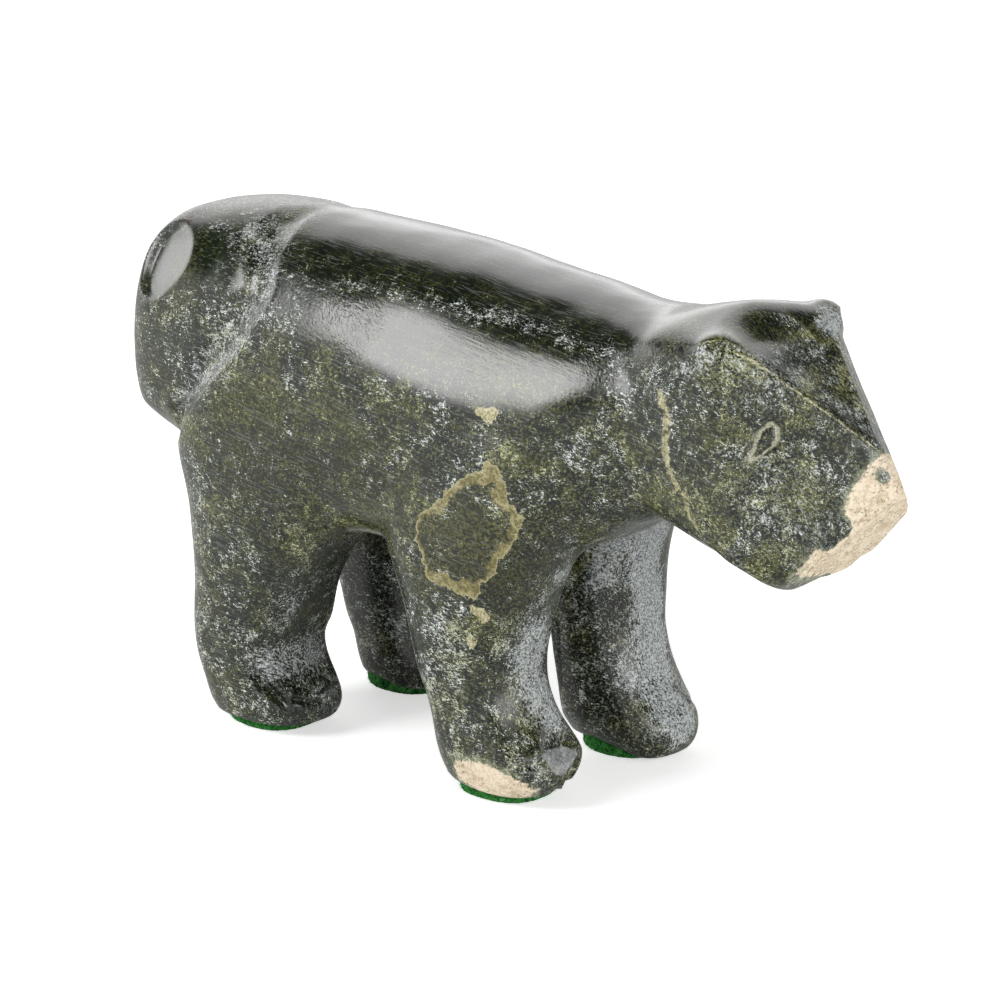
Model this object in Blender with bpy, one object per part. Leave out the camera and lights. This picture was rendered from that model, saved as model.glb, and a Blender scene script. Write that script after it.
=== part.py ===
"""A standing bear carved from one block of soapstone, with a felt pad stuck under each foot.

Metres, +Z up. The bear faces +X and its left side is +Y. The origin is on the table, below
the middle of the carving. Sizes are written in millimetres and scaled by MM.
"""

import math

import bmesh
import bpy
import numpy as np
from mathutils import Vector

MM = 0.001

# Driving sizes, in millimetres
PAD_THICKNESS = 2.2
PAD_GAP = 0.3
SOLE_HEIGHT = PAD_THICKNESS + PAD_GAP
PAD_EDGE = 0.35
LEG_SPREAD = 17.3
RING_POINTS = 40
ROUGH_VOXEL = 1.6
FINE_VOXEL = 1.0
BODY_TRIANGLES = 8400

# Trunk sections from rump to neck: x, top, widest level, underside, half width
TRUNK = [
    (-71.2, 81.5, 71.0, 61.0, 9.0),
    (-70.3, 89.8, 73.0, 56.0, 16.5),
    (-67.8, 95.6, 74.0, 53.8, 20.4),
    (-62.5, 99.6, 74.0, 53.4, 22.6),
    (-54.0, 101.6, 74.0, 51.8, 23.8),
    (-42.0, 102.4, 72.0, 46.0, 25.8),
    (-20.0, 101.4, 70.0, 42.4, 28.0),
    (5.0, 98.9, 68.0, 42.4, 28.6),
    (25.0, 96.4, 67.0, 43.6, 27.8),
    (42.0, 94.4, 68.0, 47.4, 25.2),
    (55.0, 93.7, 71.0, 54.4, 21.3),
    (64.0, 93.4, 73.0, 58.0, 18.5),
]
TRUNK_SQUARENESS = (2.5, 3.5)

# Head sections from neck to nose, before its flat cuts
HEAD = [
    (48.0, 90.8, 72.0, 58.0, 15.0),
    (56.0, 93.4, 72.0, 58.8, 18.6),
    (66.0, 94.8, 71.0, 56.8, 19.4),
    (76.0, 96.6, 70.0, 52.2, 20.2),
    (82.0, 97.4, 69.0, 49.8, 21.0),
    (90.0, 97.8, 68.0, 48.8, 21.0),
    (102.0, 96.8, 67.0, 49.8, 19.5),
    (114.0, 94.8, 66.0, 52.8, 17.0),
]
HEAD_SQUARENESS = (4.5, 3.2)
HEAD_TURN = -0.035

# The flat cuts on the head: a point on each and its outward normal
HEAD_CUTS = {
    "forehead": ((93.3, 0.0, 85.8), (0.605, 0.0, 0.796)),
    "right cheek": ((93.3, -11.6, 85.8), (0.6, -0.772, 0.21)),
    "left cheek": ((96.5, 4.0, 83.6), (0.66, 0.68, 0.32)),
    "muzzle": ((110.5, -2.0, 69.6), (0.78, -0.08, -0.62)),
    "muzzle corner": ((103.0, 2.0, 58.8), (0.70, 0.41, -0.585)),
}
# The forehead is dished between its two ridges: its length down the slope and its greatest depth
FOREHEAD_TOP = (81.0, -1.5)
FOREHEAD_HALF_WIDTH = 13.0
FOREHEAD_LENGTH = 25.0
FOREHEAD_DISH = 1.0
EARS = [(79.6, -16.4, 92.4), (79.0, 15.2, 93.0)]
EAR_RADII = (4.2, 3.4, 3.4)

# The line where the tail flap lies against the haunches: height and x
TAIL_LINE = [
    (50.0, -62.0),
    (58.0, -57.0),
    (65.0, -50.5),
    (75.0, -42.5),
    (88.0, -36.0),
    (98.0, -35.0),
    (108.0, -36.0),
]
TAIL_LINE_DEPTH = 1.6
TAIL_LINE_WIDTH = 3.4
TAIL_LINE_ENDS = (48.0, 106.0)

# Leg sections from sole to body: height, x centre, half length, half width
HIND_LEG_RIGHT = [
    (-0.5, -31.0, 7.6, 6.4),
    (1.8, -31.0, 11.8, 9.4),
    (4.2, -30.8, 14.0, 10.8),
    (8.2, -31.4, 14.3, 11.2),
    (13.8, -34.5, 13.3, 11.4),
    (19.8, -35.1, 13.2, 11.6),
    (27.8, -34.1, 14.5, 12.0),
    (35.8, -31.9, 17.3, 12.4),
    (43.8, -29.4, 21.1, 12.6),
    (55.8, -27.6, 26.5, 12.2),
    (67.8, -26.0, 25.0, 11.4),
    (79.8, -22.0, 18.0, 9.0),
]
HIND_LEG_LEFT = [
    (-0.5, -26.2, 7.6, 6.4),
    (1.8, -25.8, 11.0, 9.0),
    (4.2, -25.6, 13.2, 10.4),
    (8.2, -26.2, 13.4, 11.0),
    (13.8, -27.6, 12.0, 11.2),
    (19.8, -28.0, 12.3, 11.4),
    (27.8, -28.5, 14.2, 12.0),
    (35.8, -28.8, 17.8, 12.4),
    (43.8, -28.2, 21.9, 12.6),
    (55.8, -27.6, 26.5, 12.2),
    (67.8, -26.0, 25.0, 11.4),
    (79.8, -22.0, 18.0, 9.0),
]
FORE_LEG_RIGHT = [
    (-0.5, 30.8, 7.6, 6.6),
    (1.8, 31.0, 11.8, 9.6),
    (4.2, 31.6, 14.0, 10.9),
    (7.8, 31.6, 15.4, 11.4),
    (12.8, 28.7, 13.2, 11.4),
    (17.8, 26.2, 12.0, 11.3),
    (23.8, 24.6, 12.1, 11.3),
    (31.8, 24.2, 13.9, 11.6),
    (39.8, 24.0, 16.6, 12.0),
    (47.8, 24.4, 19.9, 12.4),
    (57.8, 25.4, 21.4, 12.4),
    (69.8, 26.8, 19.8, 10.6),
]
FORE_LEG_LEFT = [
    (-0.5, 32.2, 7.6, 6.6),
    (1.8, 32.8, 11.0, 9.2),
    (4.2, 33.8, 13.0, 10.4),
    (7.8, 33.6, 13.2, 11.2),
    (12.8, 31.8, 11.6, 11.2),
    (17.8, 29.9, 10.7, 11.2),
    (23.8, 28.2, 10.5, 11.2),
    (31.8, 26.2, 11.6, 11.6),
    (39.8, 24.4, 13.8, 12.0),
    (47.8, 23.4, 17.2, 12.4),
    (57.8, 24.6, 20.2, 12.4),
    (69.8, 26.8, 19.8, 10.6),
]
LEG_SQUARENESS = 2.7

# Felt pads: centre x, centre y, half length, half width
PADS = {
    "felt_pad_right_hind": (-31.4, -17.3, 9.6, 8.4),
    "felt_pad_left_hind": (-26.2, 17.3, 9.6, 8.4),
    "felt_pad_right_fore": (31.2, -17.3, 9.6, 8.6),
    "felt_pad_left_fore": (32.4, 17.3, 9.6, 8.6),
}
PAD_SQUARENESS = 2.3

BODY_COLOUR = (0.09, 0.1, 0.08, 1.0)
FELT_COLOUR = (0.025, 0.085, 0.02, 1.0)


def clear_scene():
    for obj in list(bpy.data.objects):
        bpy.data.objects.remove(obj, do_unlink=True)


def superellipse(angle, power):
    """Unit point at this angle on a curve between a circle (power 2) and a square."""
    c, s = math.cos(angle), math.sin(angle)
    return (
        math.copysign(abs(c) ** (2 / power), c),
        math.copysign(abs(s) ** (2 / power), s),
    )


def between(stations, steps):
    """Stations with steps more between each pair, on a Catmull-Rom curve through them."""
    rows = np.array(stations, float)
    padded = np.vstack([2 * rows[0] - rows[1], rows, 2 * rows[-1] - rows[-2]])
    out = []
    for i in range(1, len(padded) - 2):
        a, b, c, d = padded[i - 1 : i + 3]
        for k in range(steps):
            t = k / steps
            out.append(
                0.5
                * (
                    2 * b
                    + (c - a) * t
                    + (2 * a - 5 * b + 4 * c - d) * t**2
                    + (3 * b - a - 3 * c + d) * t**3
                )
            )
    out.append(rows[-1])
    return out


def loft(mesh_rings):
    """bmesh of a closed skin over rings of points in millimetres, with flat ends."""
    bm = bmesh.new()
    rings = [[bm.verts.new(Vector(p) * MM) for p in ring] for ring in mesh_rings]
    for low, high in zip(rings, rings[1:]):
        for i in range(len(low)):
            j = (i + 1) % len(low)
            bm.faces.new((low[i], low[j], high[j], high[i]))
    bm.faces.new(reversed(rings[0]))
    bm.faces.new(rings[-1])
    bmesh.ops.recalc_face_normals(bm, faces=bm.faces)
    return bm


def lengthwise_rings(stations, at_first, at_last):
    """Upright rings across the bear's length. The powers above and below the widest level
    change evenly from those at the first section to those half way along and after."""
    rings = []
    sections = between(stations, 3)
    for place, (x, top, widest, under, half) in enumerate(sections):
        t = min(1.0, 2.0 * place / len(sections))
        powers = [a + (b - a) * t for a, b in zip(at_first, at_last)]
        ring = []
        for i in range(RING_POINTS):
            angle = 2 * math.pi * i / RING_POINTS
            above = math.sin(angle) >= 0
            across, up = superellipse(angle, powers[0] if above else powers[1])
            height = (top - widest) if above else (widest - under)
            ring.append((x, half * across, widest + height * up))
        rings.append(ring)
    return rings


def leg_rings(stations, side):
    """Level rings up a leg. side is -1 for the bear's right and 1 for its left."""
    rings = []
    for height, x, half_length, half_width in between(stations, 3):
        ring = []
        for i in range(RING_POINTS):
            along, across = superellipse(2 * math.pi * i / RING_POINTS, LEG_SQUARENESS)
            ring.append((x + half_length * along, side * LEG_SPREAD + half_width * across, height))
        rings.append(ring)
    return rings


def head_skin():
    """The rough head, its nose turned a little to the bear's right."""
    rings = lengthwise_rings(HEAD, TRUNK_SQUARENESS, HEAD_SQUARENESS)
    return loft([[(x, y + HEAD_TURN * max(0.0, x - 60.0), z) for x, y, z in ring] for ring in rings])


def cut_flat(obj, cuts):
    """Everything outside each flat cut taken off the object and the hole closed."""
    bm = mesh_of(obj)
    for point, normal in cuts.values():
        made = bmesh.ops.bisect_plane(
            bm,
            geom=bm.verts[:] + bm.edges[:] + bm.faces[:],
            plane_co=Vector(point) * MM,
            plane_no=Vector(normal),
            clear_outer=True,
        )
        edges = [e for e in made["geom_cut"] if isinstance(e, bmesh.types.BMEdge)]
        bmesh.ops.edgenet_fill(bm, edges=edges)
    bmesh.ops.recalc_face_normals(bm, faces=bm.faces)
    bm.to_mesh(obj.data)
    bm.free()


def ellipsoid(centre, radii):
    bm = bmesh.new()
    bmesh.ops.create_uvsphere(bm, u_segments=24, v_segments=16, radius=1.0)
    for vert in bm.verts:
        vert.co = Vector([(centre[i] + radii[i] * vert.co[i]) * MM for i in range(3)])
    return bm


def joined(bmeshes, name):
    """One object of all the bmeshes, still separate shells."""
    mesh = bpy.data.meshes.new(name)
    whole = bmesh.new()
    for bm in bmeshes:
        part = bpy.data.meshes.new("part")
        bm.to_mesh(part)
        bm.free()
        whole.from_mesh(part)
        bpy.data.meshes.remove(part)
    whole.to_mesh(mesh)
    whole.free()
    obj = bpy.data.objects.new(name, mesh)
    bpy.context.scene.collection.objects.link(obj)
    return obj


def mesh_of(obj):
    """bmesh of the object's present mesh."""
    bm = bmesh.new()
    bm.from_mesh(obj.data)
    return bm


def applied(obj):
    """Replaces the object's mesh with its evaluated one and removes the modifiers."""
    graph = bpy.context.evaluated_depsgraph_get()
    mesh = bpy.data.meshes.new_from_object(obj.evaluated_get(graph))
    obj.modifiers.clear()
    old = obj.data
    obj.data = mesh
    bpy.data.meshes.remove(old)
    return obj


def fused(obj, voxel, rounds):
    """The shells made one skin, then rubbed down by rounds of smoothing."""
    remesh = obj.modifiers.new("fuse", "REMESH")
    remesh.mode = "VOXEL"
    remesh.voxel_size = voxel * MM
    smooth = obj.modifiers.new("rub", "SMOOTH")
    smooth.factor = 0.5
    smooth.iterations = rounds
    return applied(obj)


def points_of(mesh):
    """The mesh's points as an array in millimetres."""
    flat = np.empty(len(mesh.vertices) * 3)
    mesh.vertices.foreach_get("co", flat)
    return flat.reshape(-1, 3) / MM


def normals_of(mesh):
    flat = np.empty(len(mesh.vertices) * 3)
    mesh.vertex_normals.foreach_get("vector", flat)
    return flat.reshape(-1, 3)


def put_points(mesh, points):
    mesh.vertices.foreach_set("co", (points * MM).ravel())
    mesh.update()


def cut_tail_line(obj):
    """A shallow cove along the line where the tail flap meets the haunches."""
    points, normals = points_of(obj.data), normals_of(obj.data)
    heights, places = np.array(TAIL_LINE).T
    x, y, z = points.T
    lean = np.interp(z, heights, np.gradient(places, heights))
    away = (x - np.interp(z, heights, places)) / np.hypot(1.0, lean)
    depth = TAIL_LINE_DEPTH * np.exp(-((away / TAIL_LINE_WIDTH) ** 2))
    low, high = TAIL_LINE_ENDS
    depth *= np.clip((z - low) / 8.0, 0.0, 1.0) * np.clip((high - z) / 8.0, 0.3, 1.0)
    put_points(obj.data, points - normals * depth[:, None])


def dish_forehead(obj):
    """The forehead hollowed a little between the ridges that run from the ears to the nose."""
    points, normals = points_of(obj.data), normals_of(obj.data)
    point, normal = (np.array(v) for v in HEAD_CUTS["forehead"])
    on_cut = np.exp(-(((points - point) @ normal / 1.5) ** 2)) * np.clip(normals @ normal, 0.0, 1.0) ** 4
    along = np.clip((points[:, 0] - FOREHEAD_TOP[0]) / FOREHEAD_LENGTH, -0.2, 1.0)
    half_width = FOREHEAD_HALF_WIDTH * (1.0 - along) + 0.5
    across = np.clip(np.abs(points[:, 1] - FOREHEAD_TOP[1]) / half_width, 0.0, 1.0)
    depth = FOREHEAD_DISH * on_cut * (1.0 - across**2) * np.clip(1.3 * (1.0 - along), 0.0, 1.0)
    put_points(obj.data, points - normal * depth[:, None])


def thinned(obj, triangles):
    """The object brought down to about this many triangles."""
    obj.data.calc_loop_triangles()
    thin = obj.modifiers.new("thin", "DECIMATE")
    thin.ratio = triangles / len(obj.data.loop_triangles)
    return applied(obj)


def cut_soles(obj):
    """The feet sawn off level where the felt goes, and every face made a triangle."""
    bm = mesh_of(obj)
    made = bmesh.ops.bisect_plane(
        bm,
        geom=bm.verts[:] + bm.edges[:] + bm.faces[:],
        plane_co=(0.0, 0.0, SOLE_HEIGHT * MM),
        plane_no=(0.0, 0.0, 1.0),
        clear_inner=True,
    )
    edges = [e for e in made["geom_cut"] if isinstance(e, bmesh.types.BMEdge)]
    bmesh.ops.edgenet_fill(bm, edges=edges)
    bmesh.ops.triangulate(bm, faces=bm.faces)
    bmesh.ops.remove_doubles(bm, verts=bm.verts, dist=0.02 * MM)
    bmesh.ops.recalc_face_normals(bm, faces=bm.faces)
    bm.to_mesh(obj.data)
    bm.free()


def felt_pad(name, x, y, half_length, half_width):
    """A flat felt pad with its top and bottom edges just taken off."""
    levels = [
        (0.0, PAD_EDGE),
        (PAD_EDGE, 0.0),
        (PAD_THICKNESS - PAD_EDGE, 0.0),
        (PAD_THICKNESS, PAD_EDGE),
    ]
    rings = []
    for height, inset in levels:
        ring = []
        for i in range(RING_POINTS):
            along, across = superellipse(2 * math.pi * i / RING_POINTS, PAD_SQUARENESS)
            ring.append((x + (half_length - inset) * along, y + (half_width - inset) * across, height))
        rings.append(ring)
    return joined([loft(rings)], name)


def painted(objects, name, colour, roughness):
    material = bpy.data.materials.new(name)
    material.use_nodes = True
    shader = material.node_tree.nodes["Principled BSDF"]
    shader.inputs["Base Color"].default_value = colour
    shader.inputs["Roughness"].default_value = roughness
    shader.inputs["Metallic"].default_value = 0.0
    material.diffuse_color = colour
    for obj in objects:
        obj.data.materials.clear()
        obj.data.materials.append(material)


def shaded(objects):
    """Smooth shading, with every edge sharper than 35 degrees kept crisp."""
    for obj in objects:
        obj.data.shade_smooth()
        obj.data.set_sharp_from_angle(angle=math.radians(35.0))


def placed_on_origin(objects):
    """All the objects moved together so the middle of their bounding box is over the origin."""
    points = np.vstack([points_of(obj.data) for obj in objects])
    middle = (points.min(axis=0) + points.max(axis=0)) / 2
    shift = np.array([-middle[0], -middle[1], -points[:, 2].min()])
    for obj in objects:
        put_points(obj.data, points_of(obj.data) + shift)


def main():
    clear_scene()
    bear = joined(
        [
            loft(lengthwise_rings(TRUNK, TRUNK_SQUARENESS, TRUNK_SQUARENESS)),
            head_skin(),
            loft(leg_rings(HIND_LEG_RIGHT, -1)),
            loft(leg_rings(HIND_LEG_LEFT, 1)),
            loft(leg_rings(FORE_LEG_RIGHT, -1)),
            loft(leg_rings(FORE_LEG_LEFT, 1)),
        ],
        "rough",
    )
    fused(bear, ROUGH_VOXEL, 6)
    cut_tail_line(bear)
    cut_flat(bear, HEAD_CUTS)
    rough = bear
    bear = joined([mesh_of(rough), *(ellipsoid(e, EAR_RADII) for e in EARS)], "bear")
    bpy.data.objects.remove(rough)
    fused(bear, FINE_VOXEL, 5)
    dish_forehead(bear)
    thinned(bear, BODY_TRIANGLES)
    cut_soles(bear)
    pads = [felt_pad(name, *sizes) for name, sizes in PADS.items()]
    painted([bear], "soapstone", BODY_COLOUR, 0.35)
    painted(pads, "felt", FELT_COLOUR, 0.95)
    shaded([bear, *pads])
    placed_on_origin([bear, *pads])


main()
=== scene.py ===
"""A soapstone bear, carved from one block and rubbed smooth, standing on four green felt pads.

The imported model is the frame: everything is in metres, with +X from tail to nose, +Y to the
bear's left and +Z up. Sizes in the carving sections are millimetres.
"""

import math

import bmesh
import bpy
import numpy as np
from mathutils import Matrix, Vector


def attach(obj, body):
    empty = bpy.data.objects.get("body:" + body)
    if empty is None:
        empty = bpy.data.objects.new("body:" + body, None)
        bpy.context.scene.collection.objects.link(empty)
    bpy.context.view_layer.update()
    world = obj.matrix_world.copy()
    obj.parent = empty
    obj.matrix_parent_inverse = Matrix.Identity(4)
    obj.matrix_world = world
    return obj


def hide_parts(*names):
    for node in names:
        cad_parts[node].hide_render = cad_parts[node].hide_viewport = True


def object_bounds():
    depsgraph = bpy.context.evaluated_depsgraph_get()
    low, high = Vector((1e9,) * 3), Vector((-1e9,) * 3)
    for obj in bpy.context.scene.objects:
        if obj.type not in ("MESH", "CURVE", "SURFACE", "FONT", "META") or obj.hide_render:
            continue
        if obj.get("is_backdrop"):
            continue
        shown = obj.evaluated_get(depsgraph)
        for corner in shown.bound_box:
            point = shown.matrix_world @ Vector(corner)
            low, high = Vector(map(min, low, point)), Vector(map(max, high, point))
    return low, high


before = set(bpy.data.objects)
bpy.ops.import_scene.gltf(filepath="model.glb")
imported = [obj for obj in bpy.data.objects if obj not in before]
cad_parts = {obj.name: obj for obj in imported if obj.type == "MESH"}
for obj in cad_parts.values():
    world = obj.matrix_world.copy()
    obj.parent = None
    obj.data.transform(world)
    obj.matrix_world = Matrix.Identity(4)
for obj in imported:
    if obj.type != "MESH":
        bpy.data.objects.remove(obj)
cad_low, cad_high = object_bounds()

# Camera: a long lens a little under 70 cm away, just above the bear's back and in front of
# its right shoulder.
camera_data = bpy.data.cameras.new("camera")
camera_data.lens = 126.0
camera_data.sensor_width = 36.0
camera_data.clip_start = 0.01
camera = bpy.data.objects.new("camera", camera_data)
camera.location = (0.4274, -0.4890, 0.2300)
camera.rotation_euler = (math.radians(74.6), 0.0, math.radians(41.5))
bpy.context.scene.collection.objects.link(camera)
bpy.context.scene.camera = camera

# Studio: a plain white table in a white surround that darkens overhead. One soft box shines
# from the front left and a wide one from behind, and two dimmer walls lift the shaded sides.
FLOOR_SIDE = 3.2
FLOOR_LIFT = 0.55
half_floor = FLOOR_SIDE / 2
corners = [(x * half_floor, y * half_floor, 0.0) for x, y in ((-1, -1), (1, -1), (1, 1), (-1, 1))]
floor_mesh = bpy.data.meshes.new("floor")
floor_mesh.from_pydata(corners, [], [(0, 1, 2, 3)])
floor = bpy.data.objects.new("floor", floor_mesh)
bpy.context.scene.collection.objects.link(floor)
floor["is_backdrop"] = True

table_white = bpy.data.materials.new("table white")
table_white.use_nodes = True
shader = table_white.node_tree.nodes["Principled BSDF"]
shader.inputs["Base Color"].default_value = (0.9, 0.9, 0.895, 1.0)
shader.inputs["Roughness"].default_value = 0.7
shader.inputs["Specular IOR Level"].default_value = 0.2
shader.inputs["Emission Color"].default_value = (1.0, 1.0, 1.0, 1.0)
tree = table_white.node_tree
seen = tree.nodes.new("ShaderNodeLightPath")
lift = tree.nodes.new("ShaderNodeMath")
lift.operation = "MULTIPLY"
lift.inputs[1].default_value = FLOOR_LIFT
tree.links.new(seen.outputs["Is Camera Ray"], lift.inputs[0])
tree.links.new(lift.outputs[0], shader.inputs["Emission Strength"])
floor_mesh.materials.append(table_white)

SURROUND_LOW = 1.0
SURROUND_HIGH = 0.05
DARKENS_FROM = 0.17
DARKENS_TO = 0.42
world = bpy.data.worlds.new("surround")
bpy.context.scene.world = world
world.use_nodes = True
tree = world.node_tree
background = tree.nodes["Background"]
sky_place = tree.nodes.new("ShaderNodeTexCoord")
sky_split = tree.nodes.new("ShaderNodeSeparateXYZ")
sky_level = tree.nodes.new("ShaderNodeMapRange")
sky_level.interpolation_type = "SMOOTHSTEP"
sky_level.inputs["From Min"].default_value = DARKENS_FROM
sky_level.inputs["From Max"].default_value = DARKENS_TO
sky_level.inputs["To Min"].default_value = SURROUND_LOW
sky_level.inputs["To Max"].default_value = SURROUND_HIGH
tree.links.new(sky_place.outputs["Generated"], sky_split.inputs[0])
tree.links.new(sky_split.outputs["Z"], sky_level.inputs["Value"])
tree.links.new(sky_level.outputs["Result"], background.inputs["Strength"])
background.inputs["Color"].default_value = (1.0, 1.0, 1.0, 1.0)

LIT_HEIGHT = 0.06


def soft_light(name, towards, distance, width, height, brightness):
    """A soft box in that direction from the bear, facing it, as bright as this many whites."""
    data = bpy.data.lights.new(name, "AREA")
    data.shape = "RECTANGLE"
    data.size = width
    data.size_y = height
    data.energy = brightness * math.pi * width * height
    light = bpy.data.objects.new(name, data)
    middle = Vector((0.0, 0.0, LIT_HEIGHT))
    direction = Vector(towards).normalized()
    light.location = middle + direction * distance
    light.rotation_euler = direction.to_track_quat("Z", "Y").to_euler()
    light.visible_camera = False
    bpy.context.scene.collection.objects.link(light)


soft_light("left_soft_box", (-0.479, -0.711, 0.515), 1.1, 0.50, 0.54, 9.6)
soft_light("back_soft_box", (-0.567, 0.676, 0.470), 1.7, 2.1, 1.15, 1.6)
soft_light("left_wall", (-0.978, -0.034, 0.208), 1.5, 0.5, 0.5, 2.0)
soft_light("right_wall", (0.93, -0.15, 0.33), 1.6, 1.7, 0.9, 3.3)
bpy.context.scene.view_settings.view_transform = "Standard"

# Bear: one block of dark green soapstone, sawn to shape, rasped and rubbed smooth by hand. Its
# broad faces are slightly uneven, the sawn flats of the head keep their edges, and the belly,
# valleys and insteps were left with tool marks.
MM = 0.001
SKIN_STEP = 0.45
RUB_ROUNDS = 26
MOST_TRIANGLES = 190000
SOLE = 2.5
FAR_OFF = 40.0
UP = np.array((0.0, 0.0, 1.0))


def applied(obj):
    """Puts the object's evaluated mesh in place of its own and clears its modifiers."""
    graph = bpy.context.evaluated_depsgraph_get()
    mesh = bpy.data.meshes.new_from_object(obj.evaluated_get(graph))
    obj.modifiers.clear()
    obj.data = mesh


def points_of(mesh):
    """The mesh's points in millimetres."""
    flat = np.empty(len(mesh.vertices) * 3)
    mesh.vertices.foreach_get("co", flat)
    return flat.reshape(-1, 3) / MM


def put_points(mesh, points):
    mesh.vertices.foreach_set("co", (points * MM).ravel())
    mesh.update()


def normals_of(mesh):
    flat = np.empty(len(mesh.vertices) * 3)
    mesh.vertex_normals.foreach_get("vector", flat)
    return flat.reshape(-1, 3)


def edges_of(mesh):
    flat = np.empty(len(mesh.edges) * 2, int)
    mesh.edges.foreach_get("vertices", flat)
    return flat.reshape(-1, 2)


def rubbed(points, edges, rounds, strength):
    """Points moved towards their neighbours' mean, each by its own strength from 0 to 1."""
    strength = np.broadcast_to(strength, len(points))
    touching = edges[(strength[edges] > 0).any(axis=1)]
    used, ends = np.unique(touching, return_inverse=True)
    a, b = ends.reshape(-1, 2).T
    count = np.bincount(a, minlength=len(used)) + np.bincount(b, minlength=len(used))
    share = 0.5 * strength[used][:, None]
    local = points[used]
    for _ in range(rounds):
        mean = np.empty_like(local)
        for axis in range(3):
            mean[:, axis] = np.bincount(a, local[b, axis], len(used))
            mean[:, axis] += np.bincount(b, local[a, axis], len(used))
        local = local + (mean / count[:, None] - local) * share
    points = points.copy()
    points[used] = local
    return points


def unit(vector):
    vector = np.array(vector, float)
    return vector / np.linalg.norm(vector)


def ramp(value, low, high):
    """0 at low and 1 at high, easing in and out."""
    t = np.clip((value - low) / (high - low), 0.0, 1.0)
    return t * t * (3 - 2 * t)


def bell(away, width):
    """1 at no distance and about a third at the width."""
    return np.exp(-((away / width) ** 2))


def tapered(share, ends):
    """1 along a line, easing to 0 over that share of it at each end."""
    return ramp(share, 0.0, ends) * ramp(-share, -1.0, ends - 1.0)


def mirrored(path):
    """The same line on the bear's other side."""
    return [(x, -y, z) for x, y, z in path]


def both_sides(path):
    return path, mirrored(path)


def nearest_on(points, path):
    """Each point's distance to a line of points, the nearest place on it, and the share of the
    line's segments passed there."""
    path = np.array(path, float)
    best = np.full(len(points), 1e9)
    place = np.zeros_like(points)
    share = np.zeros(len(points))
    for i, (a, b) in enumerate(zip(path, path[1:])):
        step = b - a
        t = np.clip((points - a) @ step / (step @ step), 0.0, 1.0)
        near = a + t[:, None] * step
        away = np.linalg.norm(points - near, axis=1)
        closer = away < best
        best[closer] = away[closer]
        place[closer] = near[closer]
        share[closer] = (i + t[closer]) / (len(path) - 1)
    return best, place, share


def planed(points, normals, at, facing, reach, soft):
    """A flat rasped at that point: what stands above it is taken down, easing out at its rim."""
    facing = unit(facing)
    offset = points - np.array(at)
    height = offset @ facing
    beside = np.linalg.norm(offset - height[:, None] * facing, axis=1)
    over = soft * np.logaddexp(0.0, height / soft)
    take = over * ramp(-beside, -reach, -0.7 * reach) * (normals @ facing > 0.1) * (height < 8.0)
    return points - facing * take[:, None]


def grooved(points, normals, path, width, depth, ends):
    """A rounded groove filed along a line, fading at its ends."""
    away, _, share = nearest_on(points, path)
    cut = depth * bell(away, width) * tapered(share, ends)
    return points - normals * cut[:, None]


def scooped(points, centre, radii):
    """A hollow gouged by a rounded tool: what lies inside the ball is pushed out to its skin."""
    offset = (points - np.array(centre)) / np.array(radii)
    away = np.linalg.norm(offset, axis=1)
    inside = away < 1.0
    points = points.copy()
    points[inside] += (offset[inside] / away[inside, None] - offset[inside]) * np.array(radii)
    return points


def eased(points, normals, path, reach, depth):
    """Stone rasped away in a broad soft hollow along a line, or left fuller if depth is below 0."""
    away, _, _ = nearest_on(points, path)
    return points - normals * (depth * bell(away, reach))[:, None]


def drawn(points, normals, path, facing, closed=True):
    """Each point's distance to a line drawn on the side that faces that way, below 0 inside a
    closed line or below an open one, and the share of the line passed there."""
    facing = unit(facing)
    across = unit(np.cross(UP, facing))
    upward = np.cross(facing, across)
    path = np.array(list(path) + ([path[0]] if closed else []), float)
    flat = np.stack([points @ across, points @ upward, np.zeros(len(points))], axis=1)
    corners = np.stack([path @ across, path @ upward, np.zeros(len(path))], axis=1)
    away, place, share = nearest_on(flat, corners)
    inside = np.zeros(len(points), bool)
    if closed:
        for a, b in zip(corners, corners[1:]):
            rise = b[1] - a[1] if abs(b[1] - a[1]) > 1e-9 else 1e-9
            at = a[0] + (flat[:, 1] - a[1]) / rise * (b[0] - a[0])
            inside ^= ((a[1] > flat[:, 1]) != (b[1] > flat[:, 1])) & (flat[:, 0] < at)
    else:
        inside = flat[:, 1] < place[:, 1]
    depth = (points - path.mean(axis=0)) @ facing
    there = (normals @ facing > 0.05) & (np.abs(depth) < 12.0)
    signed = np.where(there, np.where(inside, -away, away), FAR_OFF)
    return np.clip(signed, -FAR_OFF, FAR_OFF), share


bear = bpy.data.objects.new("carved_bear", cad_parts["bear"].data.copy())
bpy.context.scene.collection.objects.link(bear)
whole = bmesh.new()
whole.from_mesh(bear.data)
bmesh.ops.remove_doubles(whole, verts=whole.verts, dist=0.01 * MM)
whole.to_mesh(bear.data)
whole.free()
skin = bear.modifiers.new("skin", "REMESH")
skin.mode = "VOXEL"
skin.voxel_size = SKIN_STEP * MM
applied(bear)
edges = edges_of(bear.data)
points = points_of(bear.data)
rub = np.where(points[:, 2] < SOLE + 0.3, 0.15, 1.0)
points = rubbed(points, edges, RUB_ROUNDS, rub)


def fresh_normals():
    put_points(bear.data, points)
    return normals_of(bear.data)


def worked(tool, *how):
    """The bear's points after one use of a tool that cuts along its present normals."""
    return tool(points, fresh_normals(), *how)


def near_line(path, reach, full):
    """1 at the bear's points within one distance of a line, easing to 0 at its reach."""
    return ramp(-nearest_on(points, path)[0], -reach, -full)


def rubbed_near(path, rounds, reach, full):
    """The bear's points rubbed smooth near a line."""
    return rubbed(points, edges, rounds, near_line(path, reach, full))


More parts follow.
